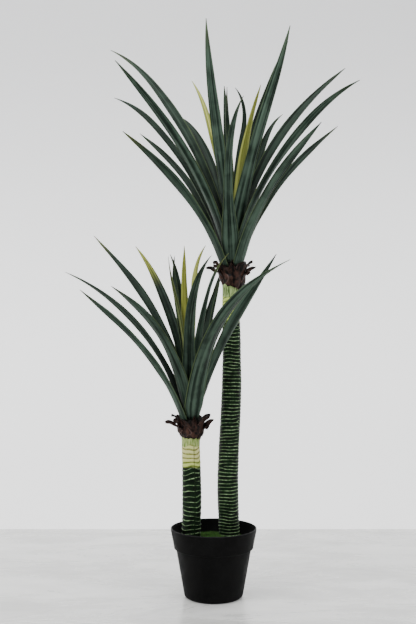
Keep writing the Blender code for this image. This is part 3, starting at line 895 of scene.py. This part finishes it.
SHORT_LEAVES = (
    ("left_front_low", -150, 55, 1117, 0.90, -1, -4, 0.5, 2),
    ("back_low", 92, 50, 900, 0.90, 0, 0, 0.2, 2),
    ("right_front", -72, 57, 1371, 1.10, 60, 8, 0.7, 3),
    ("left_low", 150, 60, 1352, 0.90, 18, 7, 0.4, 2),
    ("right", -32, 38, 1176, 1.00, 16, -6, 0.4, 2),
    ("left_back_low", 108, 47, 900, 0.80, 0, 0, 0.2, 2),
    ("front_left", -119, 66, 1182, 1.05, -7, 1, 0.5, 3),
    ("right_back", 62, 30, 1020, 0.95, 0, 0, 0.2, 2),
    ("left_high", 141, 50, 1434, 1.00, 14, -5, 0.5, 2),
    ("front", -95, 41, 1142, 1.15, 44, 15, 0.7, 3),
    ("back", 59, 25, 908, 0.90, -13, 11, 0.3, 2),
    ("thin_right", -65, 18, 1042, 0.75, 64, 26, 0.3, 2),
    ("left", 131, 38, 1206, 1.00, 8, 9, 0.5, 2),
    ("thin_left", -118, 17, 971, 0.50, -54, -13, 0.5, 2),
    ("back_inner", 123, 24, 993, 0.80, -10, -36, 0.6, 2),
    ("young_front", -117, 14, 1013, 0.70, 44, -19, 0.3, 2),
    ("heart", 158, 8, 965, 0.80, 4, 17, 0.5, 2),
    ("young_right", -29, 1, 1010, 0.70, 14, 34, 1.0, 2),
)
# how yellow a leaf is: (at its root, at its tip, share of its length where the change comes)
YELLOWED = {
    "short_leaf_left": (0.0, 0.90, 0.78), "short_leaf_thin_right": (0.0, 0.5, 0.90),
    "short_leaf_young_front": (0.85, 0.97, 0.5), "short_leaf_young_right": (0.75, 0.95, 0.5),
    "short_leaf_thin_left": (0.35, 0.25, 0.6), "short_leaf_left_high": (0.0, 0.35, 0.93),
    "tall_leaf_young_left": (0.7, 0.95, 0.6), "tall_leaf_young_right": (0.8, 0.95, 0.6),
    "tall_leaf_left_front_low": (0.0, 0.30, 0.90),
}
# how wide a leaf is at its base and further out, as shares of the plain outline
BROAD = {
    "tall_leaf_front": (1.25, 0.70), "tall_leaf_top": (0.95, 0.88),
    "tall_leaf_right_front_high": (1.15, 0.82), "tall_leaf_right_back_low": (0.90, 0.80),
    "tall_leaf_left_high": (1.0, 1.0), "tall_leaf_young_left": (1.0, 0.85),
    "short_leaf_front": (1.1, 0.76), "short_leaf_left": (1.0, 0.86), "short_leaf_thin_right": (0.9, 0.86),
    "short_leaf_right_front": (1.20, 1.15), "short_leaf_right": (1.12, 1.10),
    "short_leaf_thin_left": (1.0, 0.80), "short_leaf_young_right": (1.0, 1.12),
    "short_leaf_young_front": (1.0, 1.0),
}
PLAIN_BROAD = {"tall": (1.0, 0.92), "short": (1.0, 0.82)}
print("leaves:", len(TALL_LEAVES), "and", len(SHORT_LEAVES))

# %% Leaf shape
LEAF_THICKNESS = 0.0012  # of the CAD leaf, which sets how far apart the rings are
BLADE_THICKNESS = 0.0011  # of the finished blade, at its middle line
LEAF_WIDTH = 0.026
RING_STEP = LEAF_THICKNESS / 2 + 0.00042
HEART_RADIUS = 0.0022
ROOT_LEAN = 19.0
CHANNEL_RADIUS = 0.034
LEAF_WRAP = 0.78
LEAF_BEND = 1.5
LEAF_AT = (0.0, 0.06, 0.20, 0.42, 0.62, 0.78, 0.90, 0.97, 1.0)
LEAF_WIDTHS = (1.22, 1.24, 1.12, 1.00, 0.88, 0.64, 0.33, 0.12, 0.03)
CURL_FROM = 0.70
LEAF_ROWS = 72
LEAF_COLUMNS = 17
PLEAT = 0.0007
FOLD = 0.0034  # how deep the channel along the middle is
WAVE = 0.0011
BLUNT_TIP = 0.0006
TURN_OVER = 44  # degrees that a blade pointing sideways turns over at most


def leaf_spine(ring, rings, heading, lean, length, sway, curl):
    """The CAD leaf's own spine: its lean grows as 1 - (1 - s)^LEAF_BEND, and a curl is added near the tip."""
    radius = HEART_RADIUS + RING_STEP * (rings - 1 - ring)
    shoulder = HEART_RADIUS + RING_STEP * (rings - 1) + LEAF_THICKNESS / 2
    height = (shoulder - radius + LEAF_THICKNESS) * TIP_CONE / (shoulder - HEART_RADIUS) + 0.0004
    root_lean = ROOT_LEAN * radius / (shoulder - LEAF_THICKNESS / 2)
    late = ((SPINE - CURL_FROM) / (1 - CURL_FROM)).clip(0)
    leans = root_lean + (lean - root_lean) * (1 - (1 - SPINE) ** LEAF_BEND) + curl * late**1.5
    return spine_line((radius, height), heading, leans, sway, length)


def open_twist(heading, lean, most):
    """Free blades turn over to the light. Sign and size follow the heading: most x |cos|, towards the side
    that shows more of the blade from the front."""
    turn = math.radians(heading)
    flat, edge = math.cos(math.radians(lean)) * math.sin(turn), -math.cos(turn)
    return -math.copysign(most * abs(math.cos(turn)), flat * edge)


def leaf_half_width(name, along, width):
    """The plain outline, times the leaf's own breadth at its base and further out, plus a little near the
    tip, which would be a hair otherwise."""
    plain = np.interp(along, SPINE, softened(LEAF_AT, LEAF_WIDTHS))[:, None] * width * LEAF_WIDTH / 2
    base, outer = BROAD.get(name, PLAIN_BROAD[name.split("_")[0]])
    broad = plain * (base + (outer - base) * smooth_step(along, 0.12, 0.42)[:, None])
    return broad + BLUNT_TIP * smooth_step(along, 0.75, 0.93)[:, None] * (1 - along[:, None] ** 24)


def leaf_mesh(name, crown, ring, rings, row, unit):
    """Grid of (along, across). The pleats are cosines across the blade that fade at the root and the tip,
    and a slow wave along it lifts one margin and then the other."""
    _, heading, lean, length, width, sway, curl, tone, pleats = row
    draw = np.random.default_rng(sum(map(ord, name)))
    spine = leaf_spine(ring, rings, heading, lean, length * unit, sway, curl)
    along = 1 - (1 - np.linspace(0, 1, LEAF_ROWS)) ** 1.15
    across = np.sin(np.linspace(-1, 1, LEAF_COLUMNS) * math.pi / 2)[None, :]
    half_width = leaf_half_width(name, along, width)
    v = along[:, None]
    free = smooth_step(v, 0.16, 0.36) * (1 - smooth_step(v, 0.80, 0.99))
    pleat = np.cos(pleats * math.pi * across + draw.uniform(-0.5, 0.5)) * PLEAT * free
    keel = -FOLD * (1 - np.abs(across)) ** 1.25 * free * np.minimum(half_width / 0.010, 1.2)
    wave = WAVE * across * np.sin(draw.uniform(9, 14) * v + draw.uniform(0, 6)) * free
    turned_over = open_twist(heading, lean, TURN_OVER) + draw.uniform(-7, 7)
    twist = math.radians(turned_over) * smooth_step(v, 0.04, 0.85) + 0 * across
    surface = strip(spine, along, across, half_width, LEAF_WRAP, CHANNEL_RADIUS, twist, pleat + keel + wave)
    full = np.sqrt(np.clip(1 - across**2, 0, 1)) * 0.75 + 0.25
    thickness = BLADE_THICKNESS * full * (1 - 0.4 * smooth_step(v, 0.85, 1.0))
    outlines = blade_outlines(surface, thickness) + crown
    at_root, at_tip, change = YELLOWED.get(name, (0.0, 0.12 * draw.random(), 0.92))
    yellow = at_root + (at_tip - at_root) * smooth_step(v + 0 * across, change - 0.10, change + 0.10)
    # marks the inner side of the blade, which the finish darkens as painted shade
    inner = np.repeat([0.0, 1.0], LEAF_COLUMNS)[None, :]
    marks = {"tone": tone, "yellow": both_sides(yellow), "own": draw.random(), "inner": inner}
    return closed_blade(name, outlines, across, v, marks)


# %% [markdown]
# A mature leaf is a dark bluish green with a greyish bloom, lighter streaks along it, and a thin pale margin.
# A young one is yellow-green. Both are the same material: each leaf carries how yellow it is along its
# length, so a leaf that is green at the root and ochre at the tip needs no second material.

# %% Leaf finish
def blade_place(tree):
    """Where a point is on its blade, (across, along, 0), and the blade's own random number."""
    where = tree.add("ShaderNodeUVMap", uv_map="blade").outputs["UV"]
    return tree.split(where), tree.attribute("own")


def blade_streaks(tree, part, own, count, slow, margin_from):
    return tree.group(STREAKS, Across=part["X"], Along=part["Y"], Seed=own, Count=count, Slow=slow,
                      Margin_From=margin_from)


def leaf_finish():
    """Green is dark to light by 0.7 streak + 0.3 mottle, with painted shade that darkens the inner side, most
    near the root. Yellow carries it over to an olive that follows the streaks, and the margin is paler."""
    tree = Finish("leaf_blade", 0.5, 0.09)
    part, own = blade_place(tree)
    streaks = blade_streaks(tree, part, own, 7.0, 1.1, 0.99)
    fine = blade_streaks(tree, part, own, 40.0, 2.0, 0.97)
    mottle = tree.mottle(26.0, own)
    tone = tree.attribute("tone")
    dark = tree.blend(tone, paint(1, 4, 2), paint(8, 17, 12))
    light = tree.blend(tone, paint(38, 50, 40), paint(84, 103, 89))
    share = tree.weighed(streaks["Streak"], 0.7, mottle, 0.3)
    green = tree.blend(tree.span(share, 0.22, 0.82, smooth=False), dark, light)
    green = tree.blend(tree.times(fine["Streak"], 0.18), green, paint(84, 112, 94))
    deep = tree.blend(tone, paint(56, 62, 4), paint(116, 128, 46))
    pale = tree.blend(tone, paint(128, 132, 30), paint(206, 208, 124))
    olive = tree.blend(streaks["Streak"], deep, pale)
    # painted shade: the inner side is darkened, most near the root where the leaves close round the heart
    shade = tree.times(tree.attribute("inner"), tree.span(part["Y"], 0.05, 0.42, 0.92, 0.40))
    green = tree.blend(shade, green, paint(3, 6, 4))
    skin = tree.blend(tree.attribute("yellow"), green, olive)
    edge = tree.times(streaks["Margin"], 0.55)
    relief = tree.weighed(streaks["Streak"], 0.6, fine["Streak"], 0.4)
    return tree.give(Base_Color=tree.blend(edge, skin, paint(96, 112, 66)),
                     Roughness=tree.span(mottle, 0.0, 1.0, 0.44, 0.60), Normal=tree.bump(relief, 0.0005, 0.8))


# %% Build the leaves
def box_gap(piece, node):
    """Largest difference between a piece's box and its CAD node's box, in millimetres."""
    points = np.array([corner[:] for corner in piece.bound_box])
    low, high = (np.array(corner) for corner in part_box(node))
    return 1000 * max(np.abs(points.min(0) - low).max(), np.abs(points.max(0) - high).max())


def print_worst(word, gaps):
    worst = max(gaps, key=gaps.get)
    print(word, len(gaps), "worst box difference", worst, round(gaps[worst], 1), "mm")


LEAF = leaf_finish()
ROSETTES = (("tall", TALL_CROWN, TALL_LEAVES, 0.001), ("short", SHORT_CROWN, SHORT_LEAVES, CROWN_STEP / 1000))
gaps = {}
for stem, crown, rows, unit in ROSETTES:
    for ring, row in enumerate(rows):
        node = f"{stem}_leaf_{row[0]}"
        mesh = leaf_mesh(node, crown, ring, len(rows), row, unit)
        slot = "young_leaf" if row[0].startswith("young") else "leaf"
        leaf = add_piece(f"{stem}_blade_{row[0]}", mesh, LEAF, slot, node)
        gaps[node] = box_gap(leaf, node)
print_worst("leaves built:", gaps)

# %% [markdown]
# ## The bracts
# Under each crown, dry brown scales wrap the stem like the cup of an acorn, and their tongues stick out and
# curl. They are thin, creased and papery. The same strip is used, with ridged creases in place of pleats,
# margins that roll outwards, and a ragged outline. Narrow shreds, torn from the scales, stick out among them.

# %% Bract table
# name, heading, lean at the tip, length, how far its foot is raised, layer (0 inner, 1 outer, 2 shreds)
BRACTS = (
    ("left_front", -135, 40, 50, 2, 0), ("right_front", -45, 34, 52, 4, 0),
    ("right_back", 45, 46, 54, 0, 0), ("left_back", 135, 42, 52, 3, 0),
    ("front", -92, 30, 54, 3, 1), ("right", 0, 88, 55, 0, 1),
    ("back", 90, 80, 50, 4, 1), ("left", 178, 116, 58, 2, 1),
)
# shreds torn from the scales: heading, lean at the tip, length, how far the foot is raised, the scale
SHREDS = (
    (166, 84, 27, 32, "left"), (-170, 104, 24, 27, "left"), (-158, 112, 24, 17, "left_front"),
    (8, 80, 36, 24, "right"), (-14, 116, 23, 14, "right_front"), (28, 96, 30, 24, "right_back"),
    (122, 88, 28, 26, "left_back"), (80, 100, 26, 22, "back"),
)
# how far the collar's lower edge is lifted, and how much more on its left
SKIRT = {"tall": (0.0010, 0.0058), "short": (0.0085, 0.0018)}
BRACT_THICKNESS = 0.0009  # of the CAD bract, which sets how far out the collar starts
BRACT_LAYER_STEP = 0.0016
BRACT_BELOW_SHOULDER = 0.038
BRACT_ROOT_LEAN = 9.5
BRACT_WRAP = 0.72
BRACT_BEND = 2.3
BRACT_AT = (0.0, 0.20, 0.50, 0.64, 0.82, 0.93, 1.0)
BRACT_WIDTHS = ((0.90, 1.08, 1.10, 0.98, 0.70, 0.42, 0.10), (0.80, 1.06, 0.98, 0.52, 0.27, 0.17, 0.05),
                (0.34, 0.36, 0.37, 0.35, 0.28, 0.18, 0.05))
BRACT_ROLL = (0.0020, 0.0030, 0.0010)  # how far the margins roll outwards at the tip, by layer
BRACT_PUFF = (0.0014, 0.0034, 0.0)  # how far the scale bulges off the stem, by layer
BRACT_ROWS, BRACT_COLUMNS = 64, 37
SCALE_THICKNESS = 0.00065  # of the finished scale, at its middle line
CREASE, CROSS_CREASE = 0.0026, 0.0009
NOTCH, POINT = 0.0016, 0.0042  # how deep the lower edge is notched, and how far its point hangs down
BRACT_TURN_OVER = 34  # degrees that a tongue pointing sideways turns over
print("bracts in a collar:", len(BRACTS))


# %% Bract shape
def bract_relief(v, across, layer, draw):
    """Relief and its creases. These are folded sine waves, 1 - |sin|, that wander along the blade. The roll
    grows with the square of the distance from the middle line, and the puff is fullest on that line."""
    free = smooth_step(v, 0.30, 0.75)
    bend = 1.3 * np.sin(draw.uniform(3, 6) * v + draw.uniform(0, 6))
    creases = 1 - np.abs(np.sin(draw.uniform(1.3, 2.3) * across + bend + draw.uniform(0, 3)))
    cross = np.sin(draw.uniform(8, 13) * v + 1.2 * across + draw.uniform(0, 6)) * (0.5 + 0.5 * across**2)
    puff = BRACT_PUFF[layer] * np.sin(math.pi * np.clip(v / 0.55, 0, 1)) ** 2 * (1 - across**2)
    roll = BRACT_ROLL[layer] * across**2 * smooth_step(v, 0.35, 0.75)
    return CREASE * creases * (0.35 + free) - CROSS_CREASE * cross * (0.4 + free) - roll - puff, creases


def bract_mesh(name, crown, lowest, row, turned_by, skirt):
    """A strip on the collar's cone, with a ragged outline, a tongue that turns over, and a lower edge that is
    notched and pointed. Skirt is (how far that edge is lifted, how much more on the left)."""
    _, heading, tip_lean, length, raised, layer = row
    draw = np.random.default_rng(sum(map(ord, name)) + 3)
    slope = math.tan(math.radians(BRACT_ROOT_LEAN))
    radius = lowest + BRACT_LAYER_STEP * layer + raised / 1000 * slope
    lean = BRACT_ROOT_LEAN + (tip_lean - BRACT_ROOT_LEAN) * SPINE**BRACT_BEND
    root = (radius, raised / 1000 - BRACT_BELOW_SHOULDER)
    spine = spine_line(root, heading + turned_by, lean, 0, length / 1000)
    along = np.linspace(0, 1, BRACT_ROWS)
    across = np.linspace(-1, 1, BRACT_COLUMNS)[None, :]
    v = along[:, None]
    widths = np.interp(along, SPINE, softened(BRACT_AT, BRACT_WIDTHS[layer], 15))[:, None]
    ragged = 1 + 0.05 * np.sin(draw.uniform(18, 26) * v + draw.uniform(0, 6)) * v
    half_width = widths * BRACT_WRAP * radius * 1.2 * ragged
    relief, creases = bract_relief(v, across, layer, draw)
    way = 1 if draw.random() < 0.6 else -1
    turned_over = BRACT_TURN_OVER * min(layer, 1) * math.cos(math.radians(heading)) * way
    turned_over = turned_over + draw.uniform(-14, 14)
    twist = math.radians(turned_over) * smooth_step(v, 0.45, 0.85) + 0 * across
    surface = strip(spine, along, across, half_width, BRACT_WRAP, math.inf, twist, relief)
    notch = NOTCH * np.sin(draw.uniform(4, 7) * across + draw.uniform(0, 6))
    notch = notch * (1 - smooth_step(v, 0.0, 0.25))
    peak = np.clip(1 - np.abs(across + 0.15), 0, 1)
    point = -POINT * peak * (1 - smooth_step(v, 0.0, 0.35)) * (1 - min(layer, 1) * 0.4)
    lift = (skirt[0] - skirt[1] * surface[..., 0] / radius) * (1 - smooth_step(v, 0.0, 0.45))
    surface = surface + np.stack([0 * notch, 0 * notch, notch + point + (lift if layer < 2 else 0)], -1)
    thickness = SCALE_THICKNESS * (0.35 + 0.65 * np.sqrt(np.clip(1 - across**2, 0, 1))) + 0 * v
    outlines = blade_outlines(surface, thickness) + crown
    marks = {"own": draw.random(), "crease": both_sides(creases + 0 * v)}
    return closed_blade(name, outlines, across, v, marks)


def bract_finish():
    """Brown is dark to light by half streak and half mottle, with a painted highlight that makes the crease
    ridges pale, and dark at tip and margin.
    """
    tree = Finish("dry_bract", 0.5, 0.13)
    part, own = blade_place(tree)
    streaks = blade_streaks(tree, part, own, 6.0, 1.6, 0.98)
    mottle, grain = tree.mottle(90.0, own), tree.grain(520.0, 0.6)
    share = tree.weighed(streaks["Streak"], 0.5, mottle, 0.5)
    brown = tree.blend(tree.span(share, 0.25, 0.8, smooth=False), paint(3, 2, 1), paint(68, 45, 37))
    # painted highlight: the crease ridges are lightened to a pale purple-grey
    crease_highlight = tree.times(tree.span(tree.attribute("crease"), 0.78, 1.0), 0.55)
    brown = tree.blend(crease_highlight, brown, paint(106, 82, 76))
    tip = tree.times(tree.span(part["Y"], 0.55, 0.95), 0.6)
    brown = tree.blend(tip, brown, paint(13, 8, 8))
    edge = tree.times(streaks["Margin"], 0.7)
    relief = tree.weighed(streaks["Streak"], 0.7, grain["Height"], 0.3)
    return tree.give(Base_Color=tree.blend(edge, brown, paint(14, 8, 8)),
                     Roughness=tree.span(mottle, 0.0, 1.0, 0.38, 0.60), Normal=tree.bump(relief, 0.0007, 0.9))


# %% Build the bracts
BRACT = bract_finish()
bract_gaps = {}
for stem, crown, turned_by in (("tall", TALL_CROWN, 0), ("short", SHORT_CROWN, 14)):
    _, cone = centre_and_radius(f"{stem}_stem", [crown[2] - BRACT_BELOW_SHOULDER])
    lowest = float(cone[0]) + 0.0004 + BRACT_THICKNESS / 2
    for row in BRACTS:
        node = f"{stem}_bract_{row[0]}"
        mesh = bract_mesh(node, crown, lowest, row, turned_by, SKIRT[stem])
        piece = add_piece(f"{stem}_scale_{row[0]}", mesh, BRACT, "bract", node)
        bract_gaps[node] = box_gap(piece, node)
    for number, (*numbers, torn_from) in enumerate(SHREDS):
        name = f"{stem}_shred_{number}"
        mesh = bract_mesh(name, crown, lowest - 0.0004, (name, *numbers, 2), turned_by, SKIRT[stem])
        add_piece(name, mesh, BRACT, "bract", f"{stem}_bract_{torn_from}")
print_worst("bracts built:", bract_gaps)
